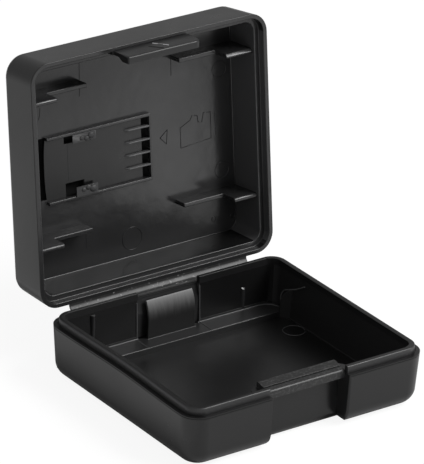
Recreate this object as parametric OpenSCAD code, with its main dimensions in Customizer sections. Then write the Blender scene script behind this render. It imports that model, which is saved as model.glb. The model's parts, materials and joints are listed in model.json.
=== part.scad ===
// Hinged clamshell case for one small camera battery and one memory card.
// One polypropylene moulding, drawn standing on its base with the lid swung open.
// Origin: middle of the base's footprint, on the surface it stands on. X right, Y back, Z up.

/* [Case] */
// Width of the case over its side walls
case_w = 50; // [46:0.5:60]
// Depth of the case from the latch side to the hinge side
case_d = 45; // [42:0.5:56]
// Height of the base up to its outer shoulder
base_h = 9.9; // [9:0.1:14]
// Depth of the lid from its rim to its outer face
lid_h = 9.6; // [9:0.1:14]
// Wall thickness of both shells at the rim
wall_t = 1.8; // [1.6:0.05:2.2]
// Thickness of the base's floor
floor_t = 1.2; // [1:0.05:1.6]
// Thickness of the lid's outer face
lid_t = 1.25; // [1.1:0.05:1.6]
// Inward lean of every wall, in mm per mm of depth
lean = 0.05; // [0.02:0.01:0.07]
// Plan radius of the four corners at the rim
corner_r = 3.7; // [3.4:0.1:5]
// Rounding along the base's bottom edge
base_edge_r = 2.8; // [1.5:0.1:2.9]
// Rounding along the lid's outer edge
lid_edge_r = 1.3; // [0.6:0.1:2]
// Rounding along the inside bottom of both shells
inner_edge_r = 0.5; // [0.2:0.1:0.8]

/* [Rim] */
// Width of the raised lip round the base's opening
lip_w = 0.85; // [0.6:0.05:0.9]
// Height of that lip above the shoulder
lip_h = 1.05; // [0.6:0.05:1.3]
// Rounding of the lip's two top edges
lip_round = 0.3; // [0.1:0.05:0.4]
// Play between the lip and the lid's rebate
lip_play = 0.12; // [0.05:0.01:0.2]
// Gap between the two rims when the case is shut
rim_gap = 0.1; // [0.05:0.01:0.2]

/* [Hinge] */
// Length of the living hinge
hinge_len = 38; // [24:1:40]
// Width of the flexing land between the two rims
hinge_land = 2; // [1.6:0.1:3]
// Thickness of the land on each side of its crease
land_t = 0.5; // [0.4:0.05:0.8]
// Radius of the rounded crease that the land bends on
crease_r = 0.28; // [0.2:0.02:0.36]
// Angle the lid stands open at, measured from shut
open_angle = 96.6; // [60:0.1:120]

/* [Thumb recess and latch] */
// Width of the recess in the base's front wall
recess_w = 16.2; // [12:0.1:22]
// How far that recess is set back from the front face
recess_set = 3.4; // [3.2:0.1:4]
// Rounding of the recess's upright edges
recess_round = 0.8; // [0.4:0.1:0.9]
// Rounding along the bottom of the set-back wall
recess_edge_r = 1.3; // [0.8:0.1:1.6]
// How far the catch bar stands out from the set-back wall
bead_out = 1.8; // [1.5:0.05:1.9]
// Height of the catch bar's underside below the shoulder
bead_drop = 1.3; // [1:0.1:1.6]
// Height of the catch bar's top above the shoulder
bead_rise = 0.5; // [0.3:0.05:0.6]
// Rounding of the catch bar's top front edge
bead_round = 0.45; // [0.2:0.05:0.5]
// Clearance between the latch and the catch bar
latch_play = 0.25; // [0.15:0.05:0.35]
// Clearance on each side of the latch in the recess
latch_side_play = 0.35; // [0.2:0.05:0.6]
// Thickness of the latch tab
tab_t = 0.85; // [0.7:0.05:0.95]
// Length of the latch tab below the lid's rim
tab_len = 4.7; // [4.2:0.1:6]
// How far the hook stands in from the tab
hook_in = 0.7; // [0.5:0.05:0.75]
// Fall of the hook's catching face, in mm per mm of reach
hook_fall = 1.5; // [0.8:0.1:1.6]

/* [Battery spring] */
// Width of the spring tongue
tongue_w = 9.9; // [7:0.1:14]
// Thickness of the spring tongue
tongue_t = 0.6; // [0.45:0.05:0.7]
// How far the tongue stands out from the back wall
tongue_out = 0.8; // [0.7:0.05:1.1]
// Radius that the tongue's upper end curls back on
tongue_curl_r = 4; // [3:0.1:4.4]
// Angle the tongue's upper end curls through
tongue_curl_a = 37; // [25:1:39]
// Height of the tongue's flat top below the shoulder
tongue_head = 0.25; // [0.2:0.05:0.6]
// Gap each side between the tongue and the slot behind it
tongue_gap = 1.7; // [0.5:0.1:2]
// Depth of that slot in the back wall at the tongue's foot
slot_foot_d = 0.35; // [0.2:0.05:0.5]
// Height of the slot's slanting stretch
slot_slant_h = 2.4; // [1.8:0.1:3]
// Height of the slot's upright top stretch below the shoulder
slot_head = 0.5; // [0.3:0.1:0.8]
// Part of the lip left standing behind the slot
slot_lip_t = 0.2; // [0.15:0.05:0.25]

/* [Battery seat] */
// Height of the ledge along the back wall, above the floor
ledge_h = 1.25; // [0.8:0.05:2]
// Width of that ledge at its top
ledge_w = 4.35; // [3:0.05:5]
// Step down of the ledge's middle stretch
ledge_step = 0.05; // [0.05:0.05:0.3]
// Thickness of the side guides at their thick end
guide_t = 1.75; // [1:0.05:2]
// Length of the side guides along the side walls
guide_len = 13; // [10:0.5:16]
// Height of the side guides where they begin, above the floor
guide_h = 3.4; // [2.6:0.1:4]
// Radius of the side guides' rounded shoulder
guide_round = 2.6; // [1.5:0.1:3.5]
// Slope of the side guides' top edge
guide_a = 31; // [20:1:40]
// Distance of each wall rib from the side wall
wall_rib_in = 7; // [5:0.1:9]
// Radius of the wall ribs
wall_rib_r = 0.5; // [0.3:0.05:0.7]
// Gap between the wall ribs' domed tops and the shoulder
wall_rib_head = 0.4; // [0.3:0.1:1.5]

/* [Lid ribs] */
// Distance of the ribs' free ends from the middle
rib_end_x = 9.8; // [8:0.1:12]
// Distance of the ribs' tall parts from the middle
rib_tall_x = 17.9; // [15:0.1:20]
// Height of the ribs' long low part
rib_low_h = 2.8; // [2:0.1:3.5]
// Height of the ribs' short tall part
rib_tall_h = 6.4; // [4:0.1:7]
// Thickness of the ribs
rib_t = 0.8; // [0.6:0.05:1.2]
// Distance of the latch-side ribs from the middle of the lid
rib_front_y = 14.6; // [12:0.1:16]
// Distance of the hinge-side ribs from the middle of the lid
rib_rear_y = 11.8; // [10:0.1:15]

/* [Card holder] */
// Length of the memory card
card_l = 15; // [14:0.5:16]
// Width of the memory card
card_w = 11; // [10:0.1:11]
// Thickness of the memory card at its grip
card_t = 1; // [0.9:0.05:1.1]
// Thickness of the memory card where the clips hold it
card_thin_t = 0.7; // [0.6:0.05:0.8]
// Play on each side of the card in its pocket
card_play = 0.2; // [0.1:0.05:0.4]
// Free length beside the card's end
card_slack = 1; // [0.5:0.1:1.5]
// Thickness of the frame round the card
frame_t = 0.55; // [0.4:0.05:0.8]
// Height of the bed the card lies on
bed_h = 0.6; // [0.4:0.1:1]
// Length of the finger ramp beside the card
ramp_l = 4.7; // [3:0.1:6]
// Drop of the finger ramp at its far end
ramp_drop = 0.35; // [0.1:0.05:0.35]
// Gap between the bed's left end and the edge of its well
press_gap = 0.55; // [0.3:0.05:0.8]
// Depth that the well and the slot are sunk in the lid's face
slot_sink = 0.4; // [0.2:0.05:0.5]
// Width of the open slot at the frame's inner end
slot_w = 0.5; // [0.3:0.05:0.8]
// Number of comb ribs over that slot
comb_count = 4; // [2:1:6]
// Length of the comb ribs
comb_l = 3.8; // [3:0.1:6]
// Thickness of the comb ribs
comb_t = 0.4; // [0.3:0.05:0.6]
// Length of the two edge clips
clip_l = 4.3; // [3:0.1:6]
// How far the clips reach over the card's pocket
clip_over = 1.2; // [0.8:0.05:1.5]
// Height of the clips' tops above the frame
clip_rise = 0.15; // [0.05:0.05:0.3]
// Distance of the clips from the bed's crease
clip_set = 1.1; // [0.8:0.1:2]
// Place of the frame's inner end, right of the middle
frame_x = 3.85; // [0:0.05:6]

/* [Hidden] */
$fn = 48;

// Colours of the one black moulding: the shells, and their members a shade apart.
shell_colour = [0.16, 0.16, 0.165];
member_colour = [0.24, 0.24, 0.25];

// Overrun of a cut past the face it opens.
cut = 0.5;

// Base: inner faces and members.
half_w = case_w / 2;
half_d = case_d / 2;
inner_w = case_w - 2 * wall_t;
inner_d = case_d - 2 * wall_t;
inner_r = corner_r - wall_t;
base_depth = base_h - floor_t;
back_wall_y = half_d - wall_t - lean * base_depth;
ledge_z = floor_t + ledge_h;
ledge_mid_z = ledge_z - ledge_step;
ledge_y = half_d - wall_t - ledge_w;

// Lip and rebate.
lip_in = wall_t - lip_w;
rebate_d = lip_h + lip_play;
rebate_in = lip_in - lip_play;

// Recess, catch bar and latch, all measured from the front face.
recess_y = -half_d + recess_set;
bead_y = recess_y - bead_out;
bead_z = base_h - bead_drop;
tab_inner_y = bead_y - latch_play;
tab_outer_y = tab_inner_y - tab_t;
tab_w = recess_w - 2 * latch_side_play;
tab_axis_y = tab_inner_y - tab_t / 2;
tab_axis_z = base_h + rim_gap;
tab_end_z = tab_axis_z - tab_len;
tab_round = 0.5;

// Clearance round the two round roots, and the ground left behind the latch's groove.
socket_play = 0.03;
groove_wall = 0.1;

// Hinge axis, half a land behind the rims.
hinge_y = half_d + hinge_land / 2;
hinge_z = base_h + rim_gap / 2;

// Spring tongue and the slot it bends back into.
tongue_y = back_wall_y - tongue_out + tongue_t / 2;
tongue_z = ledge_mid_z;
tongue_rise = tongue_curl_r * sin(tongue_curl_a);
tongue_curl_z = base_h - tongue_head - tongue_rise;
tongue_slot_w = tongue_w + 2 * tongue_gap;
slot_foot_y = back_wall_y + slot_foot_d;
slot_back_y = half_d - lip_in - slot_lip_t;
slot_slant_z = base_h - slot_head - slot_slant_h;

// Side guides' thin end, and the wall ribs' centre line behind the wall's foot.
guide_thin_t = 0.05;
wall_rib_x = inner_w / 2 - wall_rib_in;
wall_rib_sink = 0.1;

// Lid, measured from its outer face.
lid_top_z = base_h + rim_gap + lid_h;
lid_rib_y = [-rib_front_y, rib_rear_y];

// Card holder in the lid.
pocket_w = card_w + 2 * card_play;
frame_w = pocket_w + 2 * frame_t;
frame_h = bed_h + card_t;
bed_end_x = frame_x - frame_t - slot_w;
crease_x = bed_end_x - card_l - card_slack;
bed_x = crease_x - ramp_l;
frame_over = 0.15;
comb_pitch = 2.4;
clip_x = crease_x + clip_set;
clip_under = bed_h + card_thin_t + 0.05;
clip_window = 1.6;

// Points on an arc about [x, y], from angle a0 to a1.
function arc(x, y, r, a0, a1, steps = 8) =
    [for (i = [0 : steps]) let (a = a0 + (a1 - a0) * i / steps) [x + r * cos(a), y + r * sin(a)]];

// Half section of a leaning-walled tub, from its corner axis out to its wall.
// The plan radius r holds at height h, and the section runs on to h + over.
function tub_section(r, h, edge_r, over) =
    let (tilt = atan(lean))
    let (edge_x = r - lean * (h - edge_r * (1 - sin(tilt))) - edge_r * cos(tilt))
    concat([[0, 0]], arc(edge_x, edge_r, edge_r, -90, -tilt), [[r + lean * over, h + over], [0, h + over]]);

// A closed-bottomed solid tub: four turned corners, four straight sides and a core.
module tub(w, d, h, r, edge_r, over = 0) {
    reach_x = w / 2 - r;
    reach_y = d / 2 - r;
    section = tub_section(r, h, edge_r, over);
    for (turn = [0 : 3]) {
        side = turn % 2 == 0 ? [reach_x, reach_y] : [reach_y, reach_x];
        rotate([0, 0, 90 * turn]) {
            translate([side[0], side[1], 0])
                rotate_extrude(angle = 90)
                    polygon(section);
            translate([side[0], side[1], 0])
                rotate([90, 0, 0])
                    linear_extrude(2 * side[1])
                        polygon(section);
        }
    }
    translate([-reach_x, -reach_y, 0])
        cube([2 * reach_x, 2 * reach_y, h + over]);
}

// The space inside the base, and the space inside the lid, both open past their rims.
module base_space() {
    translate([0, 0, floor_t])
        tub(inner_w, inner_d, base_depth, inner_r, inner_edge_r, cut);
}

module lid_space() {
    translate([0, 0, lid_t])
        tub(inner_w, inner_d, lid_h - lid_t, inner_r, inner_edge_r, cut);
}

// Sets its child, drawn as if the lid lay on its outer face, into the open lid.
// x and y are those of the shut case, and z runs from the outer face to the rim.
module in_lid() {
    translate([0, hinge_y, hinge_z])
        rotate([-open_angle, 0, 0])
            translate([0, -hinge_y, lid_top_z - hinge_z])
                mirror([0, 0, 1])
                    children();
}

// Sets its child, drawn in the shut case's own frame, into the open lid.
module as_shut() {
    translate([0, hinge_y, hinge_z])
        rotate([-open_angle, 0, 0])
            translate([0, -hinge_y, -hinge_z])
                children();
}

// Runs a section along a plan path. Each step is ["go", length], ["left", radius] or
// ["right", radius], and the child is the section, with its x to the path's right.
module along(steps, i = 0) {
    if (i < len(steps)) {
        kind = steps[i][0];
        size = steps[i][1];
        if (kind == "go") {
            mirror([0, 1, 0])
                rotate([90, 0, 90])
                    linear_extrude(size)
                        children();
            translate([size, 0, 0])
                along(steps, i + 1)
                    children();
        } else if (kind == "left") {
            translate([0, size, 0])
                rotate([0, 0, -90])
                    rotate_extrude(angle = 90)
                        translate([size, 0])
                            children();
            translate([size, size, 0])
                rotate([0, 0, 90])
                    along(steps, i + 1)
                        children();
        } else {
            translate([0, -size, 0])
                rotate_extrude(angle = 90)
                    translate([size, 0])
                        mirror([1, 0])
                            children();
            translate([size, -size, 0])
                rotate([0, 0, -90])
                    along(steps, i + 1)
                        children();
        }
    }
}

// The solid that the recess removes: as wide as the recess, flared by its round upright
// edges at the front, and ending at the set-back wall's own leaning section.
module thumb_recess() {
    reach = recess_set + corner_r;
    intersection() {
        translate([0, -half_d, -cut])
            linear_extrude(base_h + 2 * cut)
                difference() {
                    translate([-recess_w / 2 - recess_round, -cut])
                        square([recess_w + 2 * recess_round, reach + cut]);
                    for (side = [-1, 1])
                        translate([side * (recess_w / 2 + recess_round), recess_round]) {
                            circle(recess_round);
                            translate([-recess_round, 0])
                                square([2 * recess_round, reach]);
                        }
                }
        difference() {
            translate([-case_w / 2, -half_d - cut, -cut])
                cube([case_w, reach + cut, base_h + 2 * cut]);
            translate([case_w / 2, recess_y + corner_r, 0])
                rotate([0, 0, 180])
                    rotate([90, 0, 90])
                        linear_extrude(case_w)
                            polygon(tub_section(corner_r, base_h, recess_edge_r, cut));
        }
    }
}

// The wall round the recess, standing into the base's space.
module recess_housing() {
    translate([0, -half_d, 0])
        linear_extrude(base_h)
            difference() {
                translate([-recess_w / 2 - wall_t, 0])
                    square([recess_w + 2 * wall_t, recess_set + wall_t]);
                for (side = [-1, 1])
                    translate([side * (recess_w / 2 + wall_t), recess_set + wall_t])
                        difference() {
                            square(2 * recess_round, center = true);
                            translate([-side * recess_round, -recess_round])
                                circle(recess_round);
                        }
            }
}

// The space behind the tongue: shallow at its foot, slanting back and out through the lip.
module tongue_slot() {
    front_y = back_wall_y - cut;
    top_z = base_h + lip_h + cut;
    translate([-tongue_slot_w / 2, 0, 0])
        rotate([90, 0, 90])
            linear_extrude(tongue_slot_w)
                polygon([
                    [front_y, tongue_z], [slot_foot_y, tongue_z], [slot_foot_y, slot_slant_z],
                    [slot_back_y, slot_slant_z + slot_slant_h], [slot_back_y, top_z], [front_y, top_z]
                ]);
}

// The base's shell, with the set-back front wall and the slot behind the tongue.
module base_tray() {
    color(shell_colour)
        difference() {
            tub(case_w, case_d, base_h, corner_r, base_edge_r);
            difference() {
                base_space();
                recess_housing();
            }
            thumb_recess();
            tongue_slot();
        }
}

// Section of the raised lip, rounded along both top edges.
module lip_section() {
    polygon(concat(
        [[-lip_w / 2, 0], [lip_w / 2, 0]],
        arc(lip_w / 2 - lip_round, lip_h - lip_round, lip_round, 0, 90, 5),
        arc(-lip_w / 2 + lip_round, lip_h - lip_round, lip_round, 90, 180, 5)
    ));
}

// The lip runs right round the opening, steps in behind the thumb recess, and is thinned
// where the tongue's slot comes up through it.
module rim_lip() {
    mid = lip_in + lip_w / 2;
    r = corner_r - mid;
    jog_r = recess_round + lip_w / 2;
    jog = recess_set;
    half_open = recess_w / 2 + wall_t - lip_w / 2;
    front = half_w - corner_r - half_open - jog_r;
    color(shell_colour)
        difference() {
            translate([half_open + jog_r, -half_d + mid, base_h])
                along([
                    ["go", front], ["left", r],
                    ["go", case_d - 2 * corner_r], ["left", r],
                    ["go", case_w - 2 * corner_r], ["left", r],
                    ["go", case_d - 2 * corner_r], ["left", r],
                    ["go", front], ["left", jog_r],
                    ["go", jog - 2 * jog_r], ["right", jog_r],
                    ["go", 2 * half_open - 2 * jog_r], ["right", jog_r],
                    ["go", jog - 2 * jog_r], ["left", jog_r]
                ])
                    lip_section();
            tongue_slot();
        }
}

// Square bar along the top of the set-back wall, which the latch's hook snaps under.
module catch_bead() {
    top_z = base_h + bead_rise;
    color(member_colour)
        translate([recess_w / 2, 0, 0])
            rotate([90, 0, -90])
                linear_extrude(recess_w)
                    polygon(concat(
                        [[-recess_y - lean * bead_drop, bead_z], [-bead_y, bead_z]],
                        arc(-bead_y - bead_round, top_z - bead_round, bead_round, 0, 90, 6),
                        [[-recess_y - lip_in, top_z], [-recess_y - lip_in, base_h], [-recess_y, base_h]]
                    ));
}

// Low step along the foot of the back wall, with the tongue's groove in its middle.
module rear_ledge() {
    color(member_colour)
        difference() {
            intersection() {
                base_space();
                translate([-half_w, ledge_y, 0])
                    cube([case_w, half_d, ledge_z]);
            }
            translate([-tongue_slot_w / 2, ledge_y - cut, ledge_mid_z])
                cube([tongue_slot_w, half_d, ledge_step + cut]);
            translate([-tongue_w / 2 - socket_play, tongue_y, tongue_z])
                rotate([0, 90, 0])
                    cylinder(h = tongue_w + 2 * socket_play, r = tongue_t / 2 + socket_play);
        }
}

// Thin panel on a side wall that starts at the ledge and fades out towards the front.
// Its top edge rises in a round shoulder and then a straight slope.
module corner_guide(side) {
    top_z = floor_t + guide_h;
    slope_l = guide_len - guide_round * (1 - sin(guide_a));
    far_z = top_z + guide_round * cos(guide_a) + slope_l * tan(guide_a);
    color(member_colour)
        intersection() {
            base_space();
            translate([side > 0 ? 0 : -half_w, 0, 0])
                rotate([90, 0, 90])
                    linear_extrude(half_w)
                        difference() {
                            polygon(concat(
                                [[ledge_y - guide_len, 0], [ledge_y, 0]],
                                arc(ledge_y - guide_round, top_z, guide_round, 0, 90 - guide_a),
                                [[ledge_y - guide_len, far_z]]
                            ));
                            translate([ledge_y - guide_len - cut, base_h])
                                square([2 * guide_len, 2 * base_h]);
                        }
            linear_extrude(2 * base_h)
                polygon([
                    [side * half_w, ledge_y],
                    [side * (inner_w / 2 - guide_t), ledge_y],
                    [side * (inner_w / 2 - guide_thin_t), ledge_y - guide_len],
                    [side * half_w, ledge_y - guide_len]
                ]);
        }
}

module corner_guide_left() {
    corner_guide(-1);
}

module corner_guide_right() {
    corner_guide(1);
}

// Half-round upright rib on the back wall, with a domed top.
module wall_rib(side) {
    dome_z = base_h - wall_rib_head - wall_rib_r;
    color(member_colour)
        intersection() {
            base_space();
            translate([side * wall_rib_x, back_wall_y + wall_rib_sink, 0]) {
                translate([0, 0, ledge_z])
                    cylinder(h = dome_z - ledge_z, r = wall_rib_r);
                translate([0, 0, dome_z])
                    sphere(wall_rib_r);
            }
        }
}

module wall_rib_left() {
    wall_rib(-1);
}

module wall_rib_right() {
    wall_rib(1);
}

// Flexing land of the hinge on the base's side, between the wall and the crease.
module hinge_base_leaf() {
    color(shell_colour)
        difference() {
            translate([-hinge_len / 2, half_d - wall_t, base_h - land_t])
                cube([hinge_len, hinge_y - half_d + wall_t, land_t]);
            tub(case_w, case_d, base_h, corner_r, base_edge_r, cut);
            translate([-hinge_len, hinge_y, hinge_z])
                rotate([0, 90, 0])
                    cylinder(h = 2 * hinge_len, r = crease_r);
        }
}

// Rounded crease on the hinge's axis.
module hinge_crease() {
    color(shell_colour)
        translate([-hinge_len / 2, hinge_y, hinge_z])
            rotate([0, 90, 0])
                cylinder(h = hinge_len, r = crease_r);
}

// Bowed leaf that stands in the ledge and presses the battery forward.
// Its foot is round, and its upper end curls back to a level top that leads the battery in.
module spring_tongue() {
    color(member_colour)
        translate([-tongue_w / 2, tongue_y, 0])
            rotate([90, 0, 90])
                linear_extrude(tongue_w) {
                    translate([0, tongue_z])
                        circle(tongue_t / 2);
                    translate([-tongue_t / 2, tongue_z])
                        square([tongue_t, tongue_curl_z - tongue_z]);
                    translate([tongue_curl_r - tongue_t / 2, tongue_curl_z])
                        intersection() {
                            difference() {
                                circle(tongue_curl_r, $fn = 96);
                                circle(tongue_curl_r - tongue_t, $fn = 96);
                            }
                            translate([-tongue_curl_r, 0])
                                square([tongue_curl_r, tongue_rise]);
                        }
                }
}

// The lid's shell, with the rebate that drops over the lip and the groove of the latch.
module lid_shell() {
    color(shell_colour)
        difference() {
            in_lid()
                difference() {
                    tub(case_w, case_d, lid_h, corner_r, lid_edge_r);
                    lid_space();
                    translate([0, 0, lid_h - rebate_d])
                        difference() {
                            translate([0, 0, rebate_d / 2 + cut / 2])
                                linear_extrude(rebate_d + cut, center = true)
                                    rounded_plan(case_w - 2 * rebate_in, case_d - 2 * rebate_in, corner_r - rebate_in);
                            tab_root_block();
                        }
                    card_wells();
                }
            as_shut()
                latch_axis(tab_w / 2 + socket_play)
                    cylinder(h = tab_w + 2 * socket_play, r = tab_t / 2 + socket_play);
        }
}

// Plan rectangle with round corners.
module rounded_plan(w, d, r) {
    square([w - 2 * r, d], center = true);
    square([w, d - 2 * r], center = true);
    for (x = [-1, 1], y = [-1, 1])
        translate([x * (w / 2 - r), y * (d / 2 - r)])
            circle(r);
}

// What stays of the rebate's ground where the latch tab is rooted.
module tab_root_block() {
    root_w = recess_w + 2 * lip_in;
    translate([-root_w / 2, -half_d, -cut])
        cube([root_w, tab_inner_y + half_d + groove_wall, rebate_d + 2 * cut]);
}

// Places its child along the latch's bending line, in the shut case's frame.
module latch_axis(reach) {
    translate([-reach, tab_axis_y, tab_axis_z])
        rotate([0, 90, 0])
            children();
}

// Flexing land of the hinge on the lid's side.
module hinge_lid_leaf() {
    color(shell_colour)
        as_shut()
            difference() {
                translate([-hinge_len / 2, half_d - wall_t, base_h + rim_gap])
                    cube([hinge_len, hinge_y - half_d + wall_t, land_t]);
                translate([0, 0, lid_top_z])
                    mirror([0, 0, 1])
                        tub(case_w, case_d, lid_h, corner_r, lid_edge_r, cut);
                translate([-hinge_len, hinge_y, hinge_z])
                    rotate([0, 90, 0])
                        cylinder(h = 2 * hinge_len, r = crease_r + socket_play);
            }
}

// Stepped rib of the lid: a long low part, and a short tall part at the side wall.
module lid_rib(side, y) {
    low_l = half_w - rib_end_x;
    tall_l = half_w - rib_tall_x;
    color(member_colour)
        in_lid()
            intersection() {
                lid_space();
                translate([0, y + (y < 0 ? 0 : rib_t), lid_t])
                    rotate([90, 0, 0])
                        linear_extrude(rib_t)
                            for (part = [[rib_end_x, low_l, rib_low_h], [rib_tall_x, tall_l, rib_tall_h]])
                                translate([side > 0 ? part[0] : -part[0] - part[1], 0])
                                    square([part[1], part[2]]);
            }
}

module lid_rib_front_left() {
    lid_rib(-1, lid_rib_y[0]);
}

module lid_rib_front_right() {
    lid_rib(1, lid_rib_y[0]);
}

module lid_rib_rear_left() {
    lid_rib(-1, lid_rib_y[1]);
}

module lid_rib_rear_right() {
    lid_rib(1, lid_rib_y[1]);
}

// The sunk places at both ends of the bed: the well under its free left end, and the slot.
module card_wells() {
    translate([bed_x - press_gap, -pocket_w / 2, lid_t - slot_sink])
        cube([2 * press_gap, pocket_w, slot_sink + cut]);
    translate([bed_end_x, -pocket_w / 2, lid_t - slot_sink])
        cube([slot_w, pocket_w, slot_sink + cut]);
}

// Low frame round three sides of the memory card.
module card_frame() {
    frame_l = frame_x - bed_x + frame_over;
    color(member_colour)
        in_lid()
            difference() {
                translate([frame_x - frame_l, -frame_w / 2, lid_t])
                    cube([frame_l, frame_w, frame_h]);
                translate([frame_x - frame_l - cut, -pocket_w / 2, lid_t - cut])
                    cube([frame_l - frame_t + cut, pocket_w, frame_h + 2 * cut]);
            }
}

// Bed that the card lies on, falling away in a ramp for the fingertip, and open under
// the two clips.
module card_bed() {
    window_l = clip_l + clip_window;
    color(member_colour)
        in_lid()
            difference() {
                translate([0, pocket_w / 2, lid_t])
                    rotate([90, 0, 0])
                        linear_extrude(pocket_w)
                            polygon([
                                [bed_x, 0], [bed_end_x, 0], [bed_end_x, bed_h],
                                [crease_x, bed_h], [bed_x, bed_h - ramp_drop]
                            ]);
                for (side = [-1, 1])
                    translate([clip_x - clip_window, side * pocket_w / 2 - clip_over, lid_t - cut])
                        cube([window_l, 2 * clip_over, bed_h + 2 * cut]);
            }
}

// Comb of thin ribs that bridges the slot and holds the card's far end down.
module card_comb() {
    comb_x = frame_x - frame_t;
    color(member_colour)
        in_lid()
            for (i = [0 : comb_count - 1])
                translate([0, (i - (comb_count - 1) / 2) * comb_pitch + comb_t / 2, lid_t])
                    rotate([90, 0, 0])
                        linear_extrude(comb_t)
                            polygon([
                                [comb_x - comb_l, bed_h], [comb_x, bed_h],
                                [comb_x, frame_h], [comb_x - slot_w, frame_h]
                            ]);
}

// Edge clip: a nose on the frame's long wall that reaches over the card, with a low bump.
module card_clip(side) {
    bump_r = 0.45;
    bump_x = clip_x + clip_l - 2 * bump_r;
    bump_y = side * (pocket_w / 2 - clip_over + 2 * bump_r);
    color(member_colour)
        in_lid() {
            translate([clip_x, side * (pocket_w - clip_over) / 2 - clip_over / 2, lid_t + clip_under])
                cube([clip_l, clip_over, frame_h + clip_rise - clip_under]);
            translate([bump_x, bump_y, lid_t + frame_h])
                cylinder(h = 2 * clip_rise, r = bump_r);
        }
}

module card_clip_front() {
    card_clip(-1);
}

module card_clip_rear() {
    card_clip(1);
}

// Latch: a tab hung from the lid's rim on a round root, with an inward hook at its end.
module latch_tab() {
    hook_y = -tab_inner_y - hook_in;
    hook_top = bead_z - latch_play;
    color(shell_colour)
        as_shut() {
            latch_axis(tab_w / 2)
                cylinder(h = tab_w, r = tab_t / 2);
            translate([tab_w / 2, 0, 0])
                rotate([90, 0, -90])
                    linear_extrude(tab_w)
                        polygon(concat(
                            [[-tab_outer_y, tab_axis_z], [-tab_inner_y, tab_axis_z]],
                            [[-tab_inner_y, hook_top], [hook_y, hook_top - hook_fall * hook_in]],
                            arc(hook_y + tab_round, tab_end_z + tab_round, tab_round, 180, 270, 5),
                            arc(-tab_outer_y - tab_round, tab_end_z + tab_round, tab_round, 270, 360, 5)
                        ));
        }
}

base_tray();
rim_lip();
catch_bead();
rear_ledge();
corner_guide_left();
corner_guide_right();
wall_rib_left();
wall_rib_right();
hinge_base_leaf();
hinge_crease();
spring_tongue();
lid_shell();
hinge_lid_leaf();
lid_rib_front_left();
lid_rib_front_right();
lid_rib_rear_left();
lid_rib_rear_right();
card_frame();
card_bed();
card_comb();
card_clip_front();
card_clip_rear();
latch_tab();
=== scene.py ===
import json
import math

import bmesh
import bpy
from mathutils import Matrix, Vector


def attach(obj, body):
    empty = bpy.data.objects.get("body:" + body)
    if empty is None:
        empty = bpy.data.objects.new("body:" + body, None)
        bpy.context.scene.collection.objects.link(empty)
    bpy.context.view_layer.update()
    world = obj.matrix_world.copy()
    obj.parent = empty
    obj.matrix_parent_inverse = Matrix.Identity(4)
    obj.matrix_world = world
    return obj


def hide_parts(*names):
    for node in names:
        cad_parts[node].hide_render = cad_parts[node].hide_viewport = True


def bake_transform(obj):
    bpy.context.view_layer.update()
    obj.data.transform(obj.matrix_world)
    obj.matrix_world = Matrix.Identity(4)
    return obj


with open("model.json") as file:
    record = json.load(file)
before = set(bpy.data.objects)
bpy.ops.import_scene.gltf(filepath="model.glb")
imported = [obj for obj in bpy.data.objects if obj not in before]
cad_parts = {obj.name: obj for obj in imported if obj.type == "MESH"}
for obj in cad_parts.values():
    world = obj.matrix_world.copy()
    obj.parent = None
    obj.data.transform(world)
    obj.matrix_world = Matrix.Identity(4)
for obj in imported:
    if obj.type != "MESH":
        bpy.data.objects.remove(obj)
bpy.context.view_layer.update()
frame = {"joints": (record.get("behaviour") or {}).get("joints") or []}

# ---- Camera ----------------------------------------------------------------------------
# A long lens from the front left, a little above the rims and rolled by two degrees.
# It was fitted to the case's rims, outlines and hinge line in the photograph.
MM = 0.001
azimuth, elevation, roll = math.radians(-35.97), math.radians(25.27), math.radians(2.14)
camera_distance, aim_right, aim_up, aim_height = 836.61, -4.88, -0.14, 30
focal_px, frame_px = 4856.58, 464
to_camera = Vector((
    math.sin(azimuth) * math.cos(elevation),
    -math.cos(azimuth) * math.cos(elevation),
    math.sin(elevation),
))
level_right = (-to_camera).cross(Vector((0, 0, 1))).normalized()
level_up = level_right.cross(-to_camera)
view_right = level_right * math.cos(roll) + level_up * math.sin(roll)
view_up = level_up * math.cos(roll) - level_right * math.sin(roll)
aim = (level_right * aim_right + level_up * aim_up + Vector((0, 0, aim_height))) * MM
place = aim + to_camera * camera_distance * MM
bpy.ops.object.camera_add()
camera = bpy.context.object
camera.matrix_world = Matrix((
    (view_right.x, view_up.x, to_camera.x, place.x),
    (view_right.y, view_up.y, to_camera.y, place.y),
    (view_right.z, view_up.z, to_camera.z, place.z),
    (0, 0, 0, 1),
))
camera.data.sensor_width = 36
camera.data.lens = 36 * focal_px / frame_px
camera.data.clip_start, camera.data.clip_end = 0.05, 5
bpy.context.scene.camera = camera

# ---- Base tray -------------------------------------------------------------------------
# The lower shell: leaning walls round a flat floor, a set-back stretch for the thumb, and a
# shallow slot behind the spring. The whole case is moulded in one shot of black polypropylene,
# with every edge slightly rounded.
case_w, case_d, base_h = 50, 45, 9.9
wall_t, floor_t, lean = 1.8, 1.2, 0.05
corner_r, base_edge_r, inner_edge_r = 3.7, 2.8, 0.35
recess_w, recess_set, housing_r, flare_r, flare_z = 16.2, 3.4, 1.65, 1.6, 1.6
spring_gap_w, slot_front, slot_back, slot_foot, slot_slant = 13.3, 19.9, 20.62, 2.4, 0.78
seam_in, foot_in, foot_out, foot_d = 0.12, 0.72, 0.96, 0.14
bow, bow_half = 0.45, 18
front_y = -case_d / 2
recess_y = front_y + recess_set


def block(name, low, high):
    """A cube primitive from its low corner to its high corner, in millimetres."""
    bpy.ops.object.select_all(action="DESELECT")
    centre = [(a + b) / 2 * MM for a, b in zip(low, high)]
    bpy.ops.mesh.primitive_cube_add(size=1, location=centre)
    piece = bpy.context.object
    piece.name = piece.data.name = name
    piece.scale = [(b - a) * MM for a, b in zip(low, high)]
    bpy.ops.object.transform_apply(location=True, rotation=True, scale=True)
    return piece


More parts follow.
